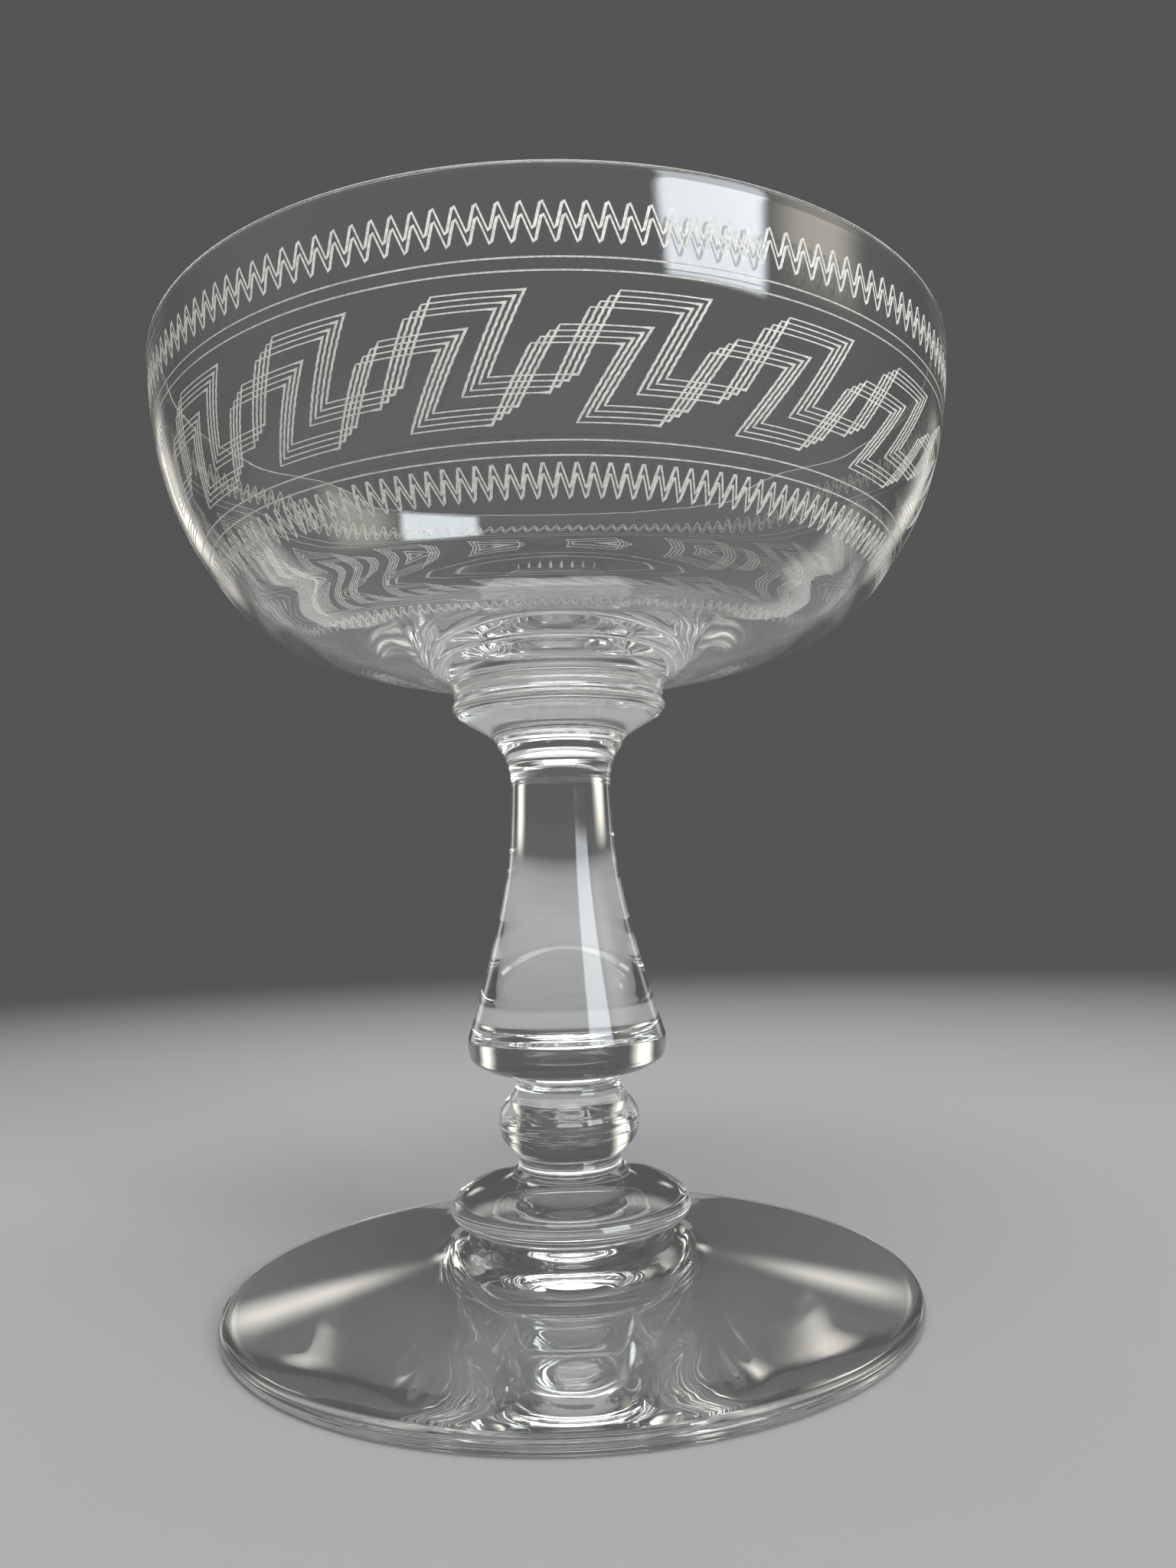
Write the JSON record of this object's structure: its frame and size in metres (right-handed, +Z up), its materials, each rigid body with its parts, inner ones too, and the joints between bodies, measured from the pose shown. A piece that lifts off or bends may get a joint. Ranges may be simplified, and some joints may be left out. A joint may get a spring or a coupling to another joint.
{
  "type": "coupe glass",
  "caption": "Stemmed coupe drinking glass: wide shallow bowl with bands of fine etched lines, collar, baluster stem, knop, disc and round foot.",
  "frame": {"origin": "middle of the foot, at the height of the ring that rests on the table", "axes": "+Z up along the axis of the glass, from the foot to the rim; +X and +Y are any two directions square to it"},
  "size_m": [0.098, 0.098, 0.11],
  "materials": {
    "clear_glass": "clear, smooth and polished",
    "etched_glass": "fine frosted lines cut into the surface"
  },
  "bodies": {
    "root": {"bowl": "clear_glass", "collar": "clear_glass", "baluster": "clear_glass", "knop": "clear_glass", "disc": "clear_glass", "foot": "clear_glass"}
  },
  "joints": []
}
